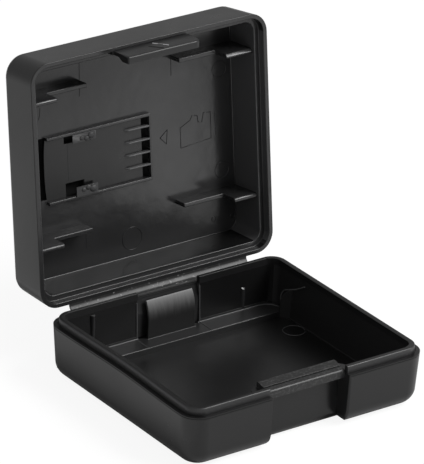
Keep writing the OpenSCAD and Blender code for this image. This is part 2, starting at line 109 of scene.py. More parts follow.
def choose(piece, kind, test=lambda c, n: True):
    """Opens the piece in edit mode with only the chosen edges or faces selected."""
    bpy.ops.object.select_all(action="DESELECT")
    bpy.context.view_layer.objects.active = piece
    piece.select_set(True)
    bpy.ops.object.mode_set(mode="EDIT")
    bpy.ops.mesh.select_mode(type=kind)
    bpy.ops.mesh.select_all(action="DESELECT")
    mesh = bmesh.from_edit_mesh(piece.data)
    for part in mesh.edges if kind == "EDGE" else mesh.faces:
        if kind == "EDGE":
            part.select_set(test(*(v.co / MM for v in part.verts)))
        else:
            part.select_set(test(part.calc_center_median() / MM, part.normal))
    bmesh.update_edit_mesh(piece.data)


def done():
    bpy.ops.object.mode_set(mode="OBJECT")


def upright(a, b):
    return abs(a.z - b.z) > 0.6 * (a - b).length


def at_height(z):
    return lambda a, b: abs(a.z - z) < 0.01 and abs(b.z - z) < 0.01


def round_edges(piece, test, radius, steps):
    """Rounds the chosen edges with a bevel of so many steps."""
    choose(piece, "EDGE", test)
    bpy.ops.mesh.bevel(offset=radius * MM, segments=steps, profile=0.5, affect="EDGES", clamp_overlap=False)
    done()


def carve(piece, tool, operation="DIFFERENCE"):
    """Cuts the tool out of the piece, or joins or crosses them, and throws the tool away."""
    change = piece.modifiers.new("carve", "BOOLEAN")
    change.operation, change.object, change.solver = operation, tool, "EXACT"
    bpy.context.view_layer.objects.active = piece
    bpy.ops.object.modifier_apply(modifier=change.name)
    bpy.data.objects.remove(tool)


def soften(piece, width, steps=2, angle=35):
    """Breaks the remaining sharp edges and shades the piece smoothly between flat faces."""
    bpy.ops.object.select_all(action="DESELECT")
    bpy.context.view_layer.objects.active = piece
    piece.select_set(True)
    if width:
        edges = piece.modifiers.new("edges", "BEVEL")
        edges.width, edges.segments = width * MM, steps
        edges.limit_method, edges.angle_limit = "ANGLE", math.radians(angle)
        edges.miter_outer = "MITER_ARC"
        bpy.ops.object.modifier_apply(modifier=edges.name)
    bpy.ops.object.shade_smooth_by_angle(angle=math.radians(50))
    even = piece.modifiers.new("even", "WEIGHTED_NORMAL")
    even.keep_sharp, even.weight = True, 80
    bpy.ops.object.modifier_apply(modifier=even.name)


def tub(name, w, d, low, high, lean_up, radius, edge_r, edge_steps):
    """A block with leaning walls, round corners and one rounded end, open end at full size."""
    piece = block(name, (-w / 2, -d / 2, low), (w / 2, d / 2, high))
    narrow_z = low if lean_up else high
    drop = 2 * lean * (high - low)
    choose(piece, "FACE", lambda c, n: abs(c.z - narrow_z) < 0.01)
    bpy.ops.transform.resize(value=((w - drop) / w, (d - drop) / d, 1))
    done()
    round_edges(piece, upright, radius, 10)
    round_edges(piece, at_height(narrow_z), edge_r, edge_steps)
    return piece


def bow_left_wall(piece):
    """The real case's left wall has drawn in a little, as a long thin wall does in cooling."""
    for y in range(2 - bow_half, bow_half + 1, 2):
        choose(piece, "FACE")
        bpy.ops.mesh.bisect(plane_co=(0, y * MM, 0), plane_no=(0, 1, 0))
        done()
    for v in piece.data.vertices:
        x, y, z = v.co / MM
        if x < -21 and abs(y) < bow_half:
            v.co.x += bow * MM * math.cos(math.pi * y / (2 * bow_half)) ** 2 * min(max(z / base_h, 0), 1)


inner_w, inner_d = case_w - 2 * wall_t + 2 * lean * 0.5, case_d - 2 * wall_t + 2 * lean * 0.5
cavity = tub("cavity", inner_w, inner_d, floor_t, base_h + 0.5, True, corner_r - wall_t, inner_edge_r, 4)
housing = block("housing", (-recess_w / 2 - wall_t, front_y - 1, -1),
                (recess_w / 2 + wall_t, recess_y + wall_t, 12))
round_edges(housing, lambda a, b: upright(a, b) and a.y > front_y, housing_r, 8)
carve(cavity, housing)

thumb = block("thumb", (-recess_w / 2, front_y - 4, flare_z), (recess_w / 2, recess_y, 12))
choose(thumb, "FACE", lambda c, n: n.z < -0.9)
bpy.ops.mesh.delete(type="FACE")
done()
choose(thumb, "EDGE", at_height(flare_z))
for step in range(6):
    a, b = math.radians(15 * step), math.radians(15 * step + 15)
    out, down = flare_r * (math.cos(a) - math.cos(b)), flare_r * (math.sin(b) - math.sin(a))
    wide = (recess_w + 2 * flare_r * (1 - math.cos(b))) / (recess_w + 2 * flare_r * (1 - math.cos(a)))
    bpy.ops.mesh.extrude_region_move(TRANSFORM_OT_translate={"value": (0, 0.5 * out * MM, -down * MM)})
    bpy.ops.transform.resize(value=(wide, 1 + out / (recess_set + 4), 1))
bpy.ops.mesh.extrude_region_move(TRANSFORM_OT_translate={"value": (0, 0, -1 * MM)})
bpy.ops.mesh.edge_face_add()
done()

slot = block("slot", (-spring_gap_w / 2, slot_front, slot_foot), (spring_gap_w / 2, slot_back, 7.0))
choose(slot, "FACE", lambda c, n: n.z > 0.9)
bpy.ops.mesh.extrude_region_move(TRANSFORM_OT_translate={"value": (0, 0, 2.4 * MM)})
done()
choose(slot, "EDGE", lambda a, b: min(a.y, b.y) > slot_back - 0.12 and min(a.z, b.z) > 9.3)
bpy.ops.transform.translate(value=(0, slot_slant * MM, 0))
done()
choose(slot, "FACE", lambda c, n: n.z > 0.9)
bpy.ops.mesh.extrude_region_move(TRANSFORM_OT_translate={"value": (0, 0, 3 * MM)})
done()

tray = tub("base_shell", case_w, case_d, 0, base_h, True, corner_r, base_edge_r, 10)
carve(tray, cavity)
carve(tray, thumb)
carve(tray, slot)


def standing_at(a, b, half, low):
    """True for an upright edge at the given distance left or right of the middle."""
    beside = max(abs(abs(a.x) - half), abs(abs(b.x) - half)) < 0.02
    return beside and upright(a, b) and min(a.z, b.z) > low


round_edges(tray, lambda a, b: standing_at(a, b, recess_w / 2, 1.5) and max(a.y, b.y) < -21.5 and a.x > 0,
            0.4, 5)


def around(name, inset, low, high):
    """A block that follows the case's outline, set in by the given distance."""
    piece = block(name, (-case_w / 2 + inset, front_y + inset, low),
                  (case_w / 2 - inset, -front_y - inset, high))
    round_edges(piece, upright, corner_r - inset, 12)
    return piece


seam = block("seam", (-30, -30, base_h - 0.30), (30, 30, base_h - 0.16))
foot = around("foot", foot_in, base_h - foot_d, base_h + 1)
for groove, inset in ((seam, seam_in), (foot, foot_out)):
    carve(groove, around("core", inset, 5, 15))
    notch = block("notch", (-recess_w / 2 - 0.3, front_y - 4, 5), (recess_w / 2 + 0.3, recess_y + 1, 15))
    carve(groove, notch)
    carve(tray, groove)
round_edges(tray, lambda a, b: standing_at(a, b, spring_gap_w / 2, slot_foot - 0.1)
            and max(a.y, b.y) < slot_back + 0.1 and min(a.y, b.y) > 20, 0.15, 4)
bow_left_wall(tray)
soften(tray, 0.05)


# The plastic of the whole case: satin where the mould was spark eroded on the outside, and
# nearly glossy where it was polished on the inside.
class Value:
    """A number or a colour in a finish's node tree, so that sums on it read as sums."""

    def __init__(self, finish, socket):
        self.finish, self.socket = finish, socket

    def sum(self, operation, a, b):
        return self.finish.add("ShaderNodeMath", {"operation": operation}, {0: a, 1: b})

    def __add__(self, other):
        return self.sum("ADD", self, other)

    def __sub__(self, other):
        return self.sum("SUBTRACT", self, other)

    def __rsub__(self, other):
        return self.sum("SUBTRACT", other, self)

    def __mul__(self, other):
        return self.sum("MULTIPLY", self, other)

    __radd__, __rmul__ = __add__, __mul__


class Finish:
    """One material: its shader, and the nodes that vary it over a surface."""

    def __init__(self, name, **fixed):
        self.material = bpy.data.materials.new(name)
        self.material.use_nodes = True
        self.tree = self.material.node_tree
        self.shader = self.tree.nodes["Principled BSDF"]
        for socket, value in fixed.items():
            self.feed(self.shader.inputs[socket.replace("_", " ").title().replace("Ior", "IOR")], value)

    def feed(self, socket, value):
        if isinstance(value, Value):
            self.tree.links.new(value.socket, socket)
        else:
            socket.default_value = value

    def add(self, kind, settings, inputs, output=0):
        node = self.tree.nodes.new(kind)
        for name, value in settings.items():
            if name == "stops":
                ramp = node.color_ramp.elements
                while len(ramp) < len(value):
                    ramp.new(0.5)
                for stop, (position, shade) in zip(ramp, value):
                    stop.position, stop.color = position, (shade, shade, shade, 1)
            else:
                setattr(node, name, value)
        for name, value in inputs.items():
            self.feed(node.inputs[name], value)
        return Value(self, node.outputs[output])

    def mix(self, much, first, second):
        """A colour between two others."""
        return self.add("ShaderNodeMix", {"data_type": "RGBA"}, {"Factor": much, 6: first, 7: second}, 2)

    def between(self, value, start, end):
        """How far a value has come from the start to the end, with soft ends."""
        limits = {"Value": value, "From Min": start, "From Max": end}
        return self.add("ShaderNodeMapRange", {"interpolation_type": "SMOOTHSTEP"}, limits)

    def where(self):
        return self.add("ShaderNodeTexCoord", {}, {}, "Object")

    def wear(self, piece, slot):
        piece.data.materials.clear()
        piece.data.materials.append(self.material)


def polypropylene(name, shade, gloss, grain, grain_depth, cloud, wave=0.012):
    """Black plastic: its base shade, its roughness, the grain of the mould and its slow waves."""
    finish = Finish(name, ior=1.49)
    place = finish.where()
    eroded = finish.add("ShaderNodeTexNoise", {}, {"Vector": place, "Scale": grain, "Detail": 3.0})
    flow = finish.add("ShaderNodeTexNoise", {}, {"Vector": place, "Scale": 110.0, "Detail": 2.0})
    handled = finish.add("ShaderNodeTexNoise", {}, {"Vector": place, "Scale": 420.0, "Detail": 4.0})
    roughness = flow * cloud + handled * (cloud * 0.6) + (gloss - cloud * 0.8)
    finish.feed(finish.shader.inputs["Roughness"], roughness)
    tone = flow * 0.35 + 0.82
    darkest = (shade * 0.75, shade * 0.75, shade * 0.75, 1)
    palest = (shade * 1.2, shade * 1.2, shade * 1.24, 1)
    finish.feed(finish.shader.inputs["Base Color"], finish.mix(tone - 0.4, darkest, palest))
    height = eroded * (grain_depth * 0.35) + flow * wave + handled * (wave * 0.3)
    bump = finish.add("ShaderNodeBump", {}, {"Strength": 1.0, "Distance": MM, "Height": height})
    finish.feed(finish.shader.inputs["Normal"], bump)
    return finish


satin = polypropylene("satin_polypropylene", 0.009, 0.30, 9000.0, 0.012, 0.10)
# Painted light: a paler copy of the plastic, with streaky roughness, for faces inside the base that lie in
# shade.
streaked_painted_light = polypropylene("streaked_painted_light_polypropylene", 0.02, 0.34, 5200.0, 0.02, 0.18)
glazed = polypropylene("glazed_polypropylene", 0.009, 0.24, 3000.0, 0.004, 0.10, 0.04)
# Painted light: a much paler copy of the plastic for inner walls that face sideways.
eroded = polypropylene("painted_light_wall_polypropylene", 0.07, 0.36, 5200.0, 0.01, 0.12)
tray_floor = polypropylene("floor_polypropylene", 0.010, 0.33, 3000.0, 0.004, 0.10, 0.04)
satin.wear(tray, "moulding")


def also_wear(piece, *finishes):
    """Gives a piece more finishes, and returns the numbers that its faces pick them by."""
    for finish in finishes:
        piece.data.materials.append(finish.material)
    return range(1, len(finishes) + 1)


use_streaked_painted_light, use_glazed, use_painted_light_wall, use_floor = also_wear(tray, streaked_painted_light, glazed, eroded, tray_floor)
# Painted light: the faces of the spring's slot and of the cavity's right wall take paler copies of the
# plastic, the palest on the slot's side that faces left; the rest of the inside takes the glazed copy and
# the floor a rougher one.
for face in tray.data.polygons:
    corners = [tray.data.vertices[i].co / MM for i in face.vertices]
    if all(abs(v.x) < spring_gap_w / 2 + 0.2 and 20.2 < v.y < 21.4 and v.z > 2.3 for v in corners):
        face.material_index = use_painted_light_wall if face.normal.x < -0.5 else use_streaked_painted_light
    elif all(abs(v.x) < 23.4 and abs(v.y) < 20.9 and 1 < v.z < base_h + 0.01 for v in corners):
        faces_left = face.normal.x < -0.7 and face.center.x > 0.02
        face.material_index = use_streaked_painted_light if faces_left else use_glazed
        if face.normal.z > 0.9 and face.center.z < (floor_t + 0.1) * MM:
            face.material_index = use_floor
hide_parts("base_tray")
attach(tray, "base")

# ---- Rim lip ---------------------------------------------------------------------------
# The raised lip that the lid's rebate drops over, of the same plastic. It is moulded on the
# shoulder, runs round the opening up to both ends of the catch bar, and is cut away behind the
# spring. Its outward faces are painted paler, as painted light.
lip_w, lip_h, lip_outer_r, lip_inner_r = 0.85, 1.34, 0.3, 0.1
lip_in = wall_t - lip_w
lip_top = base_h + lip_h

lip = around("rim_lip_moulded", lip_in, base_h - 0.1, lip_top)
carve(lip, around("inside", wall_t, 5, 15))
carve(lip, block("gap", (-recess_w / 2 - 0.05, front_y - 1, 5), (recess_w / 2 + 0.1, front_y + 5, 15)))
carve(lip, block("slot", (-spring_gap_w / 2, slot_front, 5), (spring_gap_w / 2, 22.4, 15)))


def lip_inside(a, b):
    """True for the lip's top edge on the side of the opening."""
    within_x = max(abs(a.x), abs(b.x)) < case_w / 2 - wall_t + 0.01
    within_y = max(abs(a.y), abs(b.y)) < -front_y - wall_t + 0.01
    return at_height(lip_top)(a, b) and within_x and within_y


def lip_outside(a, b):
    """True for the lip's top edge on the side of the shoulder, its corners included."""
    side = max(abs(a.x), abs(b.x)) > case_w / 2 - lip_in - 0.01
    end = min(abs(a.y), abs(b.y)) > -front_y - lip_in - 0.01
    corner = min(abs(a.x), abs(b.x)) > 20 and min(abs(a.y), abs(b.y)) > 18
    return at_height(lip_top)(a, b) and (side or end or corner)


round_edges(lip, lip_inside, lip_inner_r, 3)
round_edges(lip, lip_outside, lip_outer_r, 5)
bow_left_wall(lip)
soften(lip, 0.05)
lip_finish = polypropylene("lip_polypropylene", 0.012, 0.40, 5200.0, 0.015, 0.16)
lip_finish.wear(lip, "moulding")
# A paler copy for the lip's outward faces: painted light.
lip_painted_light = polypropylene("lip_painted_light_polypropylene", 0.030, 0.38, 5200.0, 0.02, 0.2)
use_lip_painted_light = also_wear(lip, lip_painted_light)[0]
for face in lip.data.polygons:
    if abs(face.normal.z) < 0.75 and face.normal.x * face.center.x + face.normal.y * face.center.y > 0.005:
        face.material_index = use_lip_painted_light
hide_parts("rim_lip")
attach(lip, "base")

# ---- Catch bar -------------------------------------------------------------------------
# The square bar that the latch's hook snaps under, of the same plastic and moulded in one with
# the top of the set-back wall. Its top slopes up to the lip behind it and is scuffed by the
# latch; its underside is sharp.
bar_half, bar_z, bar_under = recess_w / 2 + 0.05, 10.4, 8.9
bar_front, bar_back, bar_ramp, bar_rise = -20.9, -17.45, -18.1, 0.55
catch = block("catch_bar", (-bar_half, bar_front, bar_under), (bar_half, bar_back, bar_z))
choose(catch, "FACE", lambda c, n: n.z > 0.9)
bpy.ops.mesh.bisect(plane_co=(0, bar_ramp * MM, 0), plane_no=(0, 1, 0))
done()
choose(catch, "EDGE", lambda a, b: min(a.z, b.z) > bar_z - 0.01 and min(a.y, b.y) > bar_ramp - 0.1)
bpy.ops.transform.translate(value=(0, 0, bar_rise * MM))
done()
round_edges(catch, lambda a, b: max(a.y, b.y) < bar_front + 0.1 and min(a.z, b.z) > bar_z - 0.1, 0.42, 6)
carve(catch, block("groove", (-9, -19.75, bar_z - 0.16), (9, -19.45, bar_z + 2)))
round_edges(catch, lambda a, b: min(a.y, b.y) > bar_back - 0.05 and min(a.z, b.z) > bar_z, 0.25, 4)
soften(catch, 0.06)


def flecked(finish, scale, dark, light, start, end):
    """Adds small pale flecks, where the plastic has been scraped or bent white."""
    fleck = finish.add("ShaderNodeTexNoise", {}, {"Vector": finish.where(), "Scale": scale, "Detail": 3.0})
    much = finish.between(fleck, start, end)
    colour = finish.mix(much, (dark, dark, dark, 1), (light, light, light, 1))
    finish.feed(finish.shader.inputs["Base Color"], colour)


scuffed = polypropylene("scuffed_polypropylene", 0.035, 0.38, 5200.0, 0.03, 0.2)
flecked(scuffed, 2300.0, 0.016, 0.06, 0.46, 0.74)
scuffed.wear(catch, "moulding")
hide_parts("catch_bead")
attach(catch, "base")

# ---- Rear ledge ------------------------------------------------------------------------
# The low step along the foot of the back wall that the battery's end stands over, of the same
# plastic and moulded in one with the floor. Its middle stretch is a shade lower, and a small
# fillet runs along its foot on the back wall.
ledge_z, ledge_y, ledge_step = 2.45, 16.35, 0.05
back_foot_y = 20.24
ledge = block("rear_ledge_moulded", (-23.3, ledge_y, 0.9), (23.3, 21, ledge_z))
choose(ledge, "FACE", lambda c, n: n.z > 0.9)
bpy.ops.mesh.bisect(plane_co=(0, back_foot_y * MM, 0), plane_no=(0, 1, 0))
done()
choose(ledge, "FACE", lambda c, n: n.z > 0.9 and c.y > back_foot_y)
bpy.ops.mesh.extrude_region_move(TRANSFORM_OT_translate={"value": (0, 0, 0.5 * MM)})
done()
round_edges(ledge, lambda a, b: abs(a.y - back_foot_y) + abs(b.y - back_foot_y) < 0.02
            and max(a.z, b.z) < ledge_z + 0.01, 0.3, 4)
round_edges(ledge, lambda a, b: max(a.y, b.y) < ledge_y + 0.01 and min(a.z, b.z) > ledge_z - 0.01, 0.22, 4)
middle = block("middle", (-spring_gap_w / 2, ledge_y - 1, ledge_z - ledge_step), (spring_gap_w / 2, 22, 4))
carve(ledge, middle)
soften(ledge, 0.03, 2, 20)
# The ledge wears the paler copy: painted light on its shaded faces.
streaked_painted_light.wear(ledge, "moulding_inner")
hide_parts("rear_ledge")
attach(ledge, "base")

# ---- Corner guides ---------------------------------------------------------------------
# Two wedge-shaped panels that centre the battery, of the same plastic and moulded in one with
# the side walls. Each starts at the ledge, rises in a round shoulder, slopes up to the rim and
# fades out towards the front.
guide_t, guide_len, guide_slope, guide_wall, shoulder_r = 1.75, 13, math.radians(31), 23.2, 1.47
for side, name in ((-1, "left"), (1, "right")):
    x0, x1 = sorted((side * 20, side * 23.4))
    guide = block("corner_guide_" + name + "_moulded", (x0, ledge_y - guide_len, 0.9),
                  (x1, ledge_y, base_h - 0.01))
    choose(guide, "FACE")
    slope = (0, math.sin(guide_slope), math.cos(guide_slope))
    bpy.ops.mesh.bisect(plane_co=(0, 14.2 * MM, 7.36 * MM), plane_no=slope, use_fill=True, clear_outer=True)
    bpy.ops.mesh.select_all(action="SELECT")
    taper = (side * guide_len, guide_t - 0.05, 0)
    bpy.ops.mesh.bisect(plane_co=(side * (guide_wall - guide_t) * MM, ledge_y * MM, 0), plane_no=taper,
                        use_fill=True, clear_inner=True)
    done()
    round_edges(guide, lambda a, b: min(a.y, b.y) > ledge_y - 0.01 and min(a.z, b.z) > 5.5, shoulder_r, 8)
    soften(guide, 0.14, 3, 25)
    # The guides wear the paler copy: painted light on their shaded faces.
    streaked_painted_light.wear(guide, "moulding_inner")
    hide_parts("corner_guide_" + name)
    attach(guide, "base")

# ---- Wall ribs -------------------------------------------------------------------------
# Two slim half-round ribs on the back wall, either side of the spring, with their tops cut at
# a slant and rounded. They are of the same plastic and moulded in one with the wall.
rib_r, rib_x, rib_y, rib_foot, rib_top = 0.5, 16.2, 20.7, 2, 9.5
# A glossy copy of the plastic, painted paler than the outside: painted light on the lid's inside, its ribs,
# card frame and lines, and on the base's wall ribs.
polished = polypropylene("polished_polypropylene", 0.023, 0.22, 3000.0, 0.004, 0.14, 0.12)
for side, name in ((-1, "left"), (1, "right")):
    bpy.ops.object.select_all(action="DESELECT")
    bpy.ops.mesh.primitive_cylinder_add(
        vertices=24, radius=rib_r * MM, depth=(rib_top - rib_foot) * MM,
        location=(side * rib_x * MM, rib_y * MM, (rib_top + rib_foot) / 2 * MM),
    )
    wall_rib = bpy.context.object
    wall_rib.name = "wall_rib_" + name + "_moulded"
    bpy.ops.object.transform_apply(location=True, rotation=True, scale=True)
    choose(wall_rib, "FACE")
    bpy.ops.mesh.bisect(plane_co=(0, rib_y * MM, (rib_top + 0.1) * MM), plane_no=(0.12, -0.68, 0.72),
                        use_fill=True, clear_outer=True)
    done()
    soften(wall_rib, 0.08, 3)
    polished.wear(wall_rib, "moulding_inner")
    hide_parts("wall_rib_" + name)
    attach(wall_rib, "base")

# ---- Hinge web -------------------------------------------------------------------------
# The living hinge: one thin strip of the same plastic, moulded between the two rims, that turns
# smoothly from the base's rim into the lid's. Opening and shutting has whitened it in flecks.
hinge = next(j for j in frame["joints"] if j["name"] == "lid_hinge")
hinge_y, hinge_z = (v / MM for v in hinge["pos_m"][1:])
open_angle = math.radians(-hinge["range_deg"][0])
hinge_len, web_t = 38, 0.42


def opened(y, z):
    """A point of the shut case's lid, turned with the lid to where it stands open."""
    y, z = y - hinge_y, z - hinge_z
    return (
        hinge_y + y * math.cos(open_angle) + z * math.sin(open_angle),
        hinge_z - y * math.sin(open_angle) + z * math.cos(open_angle),
    )


def open_lid(piece):
    """Turns a piece drawn on the shut case with the lid, and keeps its place in its mesh."""
    pivot = Matrix.Translation((0, hinge_y * MM, hinge_z * MM))
    piece.data.transform(pivot @ Matrix.Rotation(-open_angle, 4, "X") @ pivot.inverted())


web_z = base_h + 0.06 - web_t / 2
web_line = [
    (22.3, web_z), (22.95, web_z), (23.20, web_z + 0.07), (23.36, web_z + 0.20), (23.52, web_z + 0.37),
    (23.68, web_z + 0.56), (23.79, web_z + 0.74), (23.87, web_z + 0.93), opened(22.3, 10.21),
]
bpy.ops.object.select_all(action="DESELECT")
bpy.ops.mesh.primitive_plane_add(size=1, location=(0, 22.625 * MM, web_z * MM))
web = bpy.context.object
web.name = web.data.name = "hinge_web"
web.scale = (hinge_len * MM, 0.65 * MM, 1)
bpy.ops.object.transform_apply(location=True, rotation=True, scale=True)
choose(web, "EDGE", lambda a, b: min(a.y, b.y) > 22.7)
for (y0, z0), (y1, z1) in zip(web_line[1:], web_line[2:]):
    bpy.ops.mesh.extrude_region_move(TRANSFORM_OT_translate={"value": (0, (y1 - y0) * MM, (z1 - z0) * MM)})
done()
thick = web.modifiers.new("thick", "SOLIDIFY")
thick.thickness, thick.offset = web_t * MM, 0
bpy.ops.object.modifier_apply(modifier=thick.name)
choose(web, "FACE")
bpy.ops.mesh.normals_make_consistent(inside=False)
done()
soften(web, 0.08, 2, 60)
web_finish = polypropylene("flexed_polypropylene", 0.03, 0.42, 5000.0, 0.03, 0.24)
flecked(web_finish, 1700.0, 0.03, 0.32, 0.60, 0.76)
web_finish.wear(web, "moulding")
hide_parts("hinge_base_leaf", "hinge_crease", "hinge_lid_leaf")
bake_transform(web)

# ---- Spring tongue ---------------------------------------------------------------------
# A thin leaf of the same plastic that pushes the battery forward, moulded with its foot in the
# ledge. It bows back towards its top, and its face is painted paler towards the top as a painted
# highlight.
tongue_w, tongue_t, tongue_y, tongue_foot, tongue_flare = 9.9, 0.5, 19.465, 2.12, 0.035
bow_r, bow_z, bow_angle = 5.9, 6.2, math.radians(34.5)
tongue = block("spring_leaf", (-tongue_w / 2, tongue_y, tongue_foot),
               (tongue_w / 2, tongue_y + tongue_t, bow_z))
choose(tongue, "FACE", lambda c, n: n.z > 0.9)
bpy.ops.mesh.spin(steps=14, angle=bow_angle, center=(0, (tongue_y + bow_r) * MM, bow_z * MM), axis=(1, 0, 0))
bpy.ops.mesh.select_all(action="SELECT")
bpy.ops.mesh.normals_make_consistent(inside=False)
done()
for v in tongue.data.vertices:
    v.co.x *= 1 + tongue_flare * (1 - (v.co.z / MM - tongue_foot) / 7.4)
soften(tongue, 0.12, 3, 30)
leaf_finish = polypropylene("leaf_polypropylene", 0.012, 0.40, 2600.0, 0.02, 0.16)
# Painted highlight: the colour runs from the plastic's black at the foot to pale grey near the top, with a
# streaky edge.
height = leaf_finish.add("ShaderNodeSeparateXYZ", {}, {"Vector": leaf_finish.where()}, "Z")
streak = leaf_finish.add("ShaderNodeMapping", {}, {"Vector": leaf_finish.where(), "Scale": (2600, 300, 300)})
highlight_streaks = leaf_finish.add("ShaderNodeTexNoise", {}, {"Vector": streak, "Scale": 1.0, "Detail": 3.0})
painted_top_light = leaf_finish.between(height + highlight_streaks * 0.0016, 0.0062, 0.0108)
colour = leaf_finish.mix(painted_top_light, (0.012, 0.012, 0.012, 1), (0.17, 0.17, 0.17, 1))
leaf_finish.feed(leaf_finish.shader.inputs["Base Color"], colour)
leaf_finish.wear(tongue, "moulding_inner")
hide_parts("spring_tongue")
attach(tongue, "spring")

# ---- Lid shell -------------------------------------------------------------------------
# The upper shell, of the same plastic, hung on the living hinge: leaning walls, a small rounding
# along its outer edge, a rebate that drops over the base's lip, and four sunk places by the card
# bed, painted near black as painted shade. It is drawn shut and then swung open.
rim_z, lid_h, lid_t, lid_edge_r = base_h + 0.1, 9.6, 1.25, 1.3
lid_top = rim_z + lid_h
lid_floor = lid_top - lid_t
rebate_in, rebate_d, root_half, root_y, well_d = 0.83, 1.46, 7.9, -21.05, 0.85
lid = tub("lid_shell_moulded", case_w, case_d, rim_z, lid_top, False, corner_r, lid_edge_r, 7)
hollow = tub("hollow", inner_w, inner_d, rim_z - 0.5, lid_floor, False, corner_r - wall_t, 0.16, 4)
carve(lid, hollow)
rebate = around("rebate", rebate_in, rim_z - 1, rim_z + rebate_d)
carve(rebate, block("root", (-root_half, front_y - 1, rim_z - 2), (root_half, root_y, rim_z + 2)))
carve(lid, rebate)
soften(lid, 0.13)
for low_x, high_x, low_y, high_y in (
    (-18.8, -17.1, -5.9, 5.6), (2.8, 4.12, -5.37, 6.03),
    (-13.5, -8.0, -5.37, -3.85), (-13.5, -9.6, 3.5, 6.03),
):
    carve(lid, block("well", (low_x, low_y, lid_floor - 1), (high_x, high_y, lid_floor + well_d)))
soften(lid, 0)
open_lid(lid)
# Painted shade: a near-black copy of the plastic, with weak reflection, for the shallow wells.
well_painted_shade = polypropylene("well_painted_shade_polypropylene", 0.004, 0.55, 5200.0, 0.01, 0.12)
well_painted_shade.shader.inputs["Specular IOR Level"].default_value = 0.15
satin.wear(lid, "moulding")
use_polished, use_glazed, use_painted_light_wall, use_well_painted_shade = also_wear(lid, polished, glazed, eroded, well_painted_shade)
# Painted light and shade by face: the lid's inside takes the paler polished copy, the sideways walls inside
# and beside the rim the much paler copy, the wells the near-black copy, and the upward faces the glazed
# copy, darker than the polished one.
for face in lid.data.polygons:
    x, y, z = face.center / MM
    dy, dz = y - hinge_y, z - hinge_z
    shut_y = hinge_y + dy * math.cos(open_angle) - dz * math.sin(open_angle)
    shut_z = hinge_z + dy * math.sin(open_angle) + dz * math.cos(open_angle)
    on_wall, in_well = shut_z < lid_floor - 0.5, shut_z > lid_floor + 0.1
    if abs(x) < 24.3 and abs(shut_y) < 21.8 and shut_z < lid_floor + 0.9 and z < 49.5:
        face.material_index = use_painted_light_wall if abs(face.normal.x) > 0.8 and on_wall else use_polished
        if in_well or face.normal.z > 0.8:
            face.material_index = use_well_painted_shade if in_well else use_glazed
    beside = 19 < abs(x) < 23.6 and abs(shut_y) < 21 and shut_z > rim_z + rebate_d
    if beside and on_wall and abs(face.normal.x) > 0.25:
        face.material_index = use_painted_light_wall
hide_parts("lid_shell")
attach(lid, "lid")

# ---- Lid ribs --------------------------------------------------------------------------
# Four stepped ribs that hold the battery down, of the same plastic and moulded in one with the
# lid's floor: a long low run from the free end, and a short tall part against the side wall.
# Each is drawn shut and swung open with the lid.
rib_t, rib_low, rib_tall = 0.8, 2.8, 6.4
for name, side, y, end_x, tall_x, chamfer in (
    ("front_left", -1, -15.1, 9.9, 18.4, 0.3), ("front_right", 1, -15.4, 9.7, 17.45, 0.5),
    ("rear_left", -1, 11.8, 9.9, 18.2, 0.3), ("rear_right", 1, 11.8, 9.7, 18.2, 0.3),
):
    x0, x1 = sorted((side * end_x, side * 23.3))
    rib = block("lid_rib_" + name + "_moulded", (x0, y, lid_floor - rib_low),
                (x1, y + rib_t, lid_floor + 0.2))
    choose(rib, "FACE", lambda c, n: n.z < -0.9)
    bpy.ops.mesh.bisect(plane_co=(side * tall_x * MM, 0, 0), plane_no=(1, 0, 0))
    done()
    choose(rib, "FACE", lambda c, n: n.z < -0.9 and abs(c.x) > tall_x)
    bpy.ops.mesh.extrude_region_move(TRANSFORM_OT_translate={"value": (0, 0, (rib_low - rib_tall) * MM)})
    done()
    tip_z = lid_floor - rib_tall + 0.01
    round_edges(rib, lambda a, b: max(a.z, b.z) < tip_z and max(a.y, b.y) < y + 0.01, chamfer, 1)
    soften(rib, 0.16, 3)
    open_lid(rib)
    polished.wear(rib, "moulding_inner")
    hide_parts("lid_rib_" + name)
    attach(rib, "lid")

# ---- Card holder -----------------------------------------------------------------------
# A pocket for one memory card, of the same plastic and moulded in one with the lid's floor: a
# low frame on three sides, a bed with a bowed free end, a comb of wedges at the far end and two
# clips along the sides.
pocket_w, pocket_y, frame_start, frame_end, frame_in, frame_t = 11.4, 0.33, -17.5, 4.49, 4.13, 0.55
frame_top, bed_top, crease_x, bed_x, bed_end = lid_floor - 0.85, lid_floor - 0.08, -12.84, -17.54, 2.86
low_y, high_y = pocket_y - pocket_w / 2, pocket_y + pocket_w / 2
card_wall = block("card_frame_moulded", (frame_start, low_y - frame_t, frame_top),
                  (frame_end, high_y + frame_t, lid_floor + 0.2))
pocket = block("pocket", (-20, low_y, frame_top - 1), (frame_in, high_y, lid_floor + 1))
carve(card_wall, pocket)
soften(card_wall, 0.12, 3)
open_lid(card_wall)
polished.wear(card_wall, "moulding_inner")
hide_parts("card_frame")
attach(card_wall, "lid")

bed = block("card_bed_moulded", (bed_x, low_y - 0.05, bed_top), (bed_end, high_y + 0.05, lid_floor + 0.1))
choose(bed, "FACE")
bpy.ops.mesh.bisect(plane_co=(crease_x * MM, 0, 0), plane_no=(1, 0, 0))
for y in (-4.8, -4, -2.7, -1.3, 0, 1.3, 2.7, 4, 5.2):
    bpy.ops.mesh.select_all(action="SELECT")
    bpy.ops.mesh.bisect(plane_co=(0, y * MM, 0), plane_no=(0, 1, 0))
done()
bed_bow, bed_half = 0.35, 5.75
for v in bed.data.vertices:
    x, y, z = v.co / MM
    if x < bed_x + 0.1:
        v.co.x -= bed_bow * MM * max(0, 1 - abs((y - pocket_y) / bed_half) ** 2.6) - 0.08 * MM
        if z < bed_top + 0.01:
            v.co.z += 0.06 * MM
for high_x, cut_y0, cut_y1 in ((-7.85, -6, -3.82), (-9.55, 3.5, 7)):
    window = block("window", (-13.5, cut_y0, bed_top - 1), (high_x, cut_y1, lid_floor + 1))
    carve(bed, window)
soften(bed, 0.03, 2, 40)
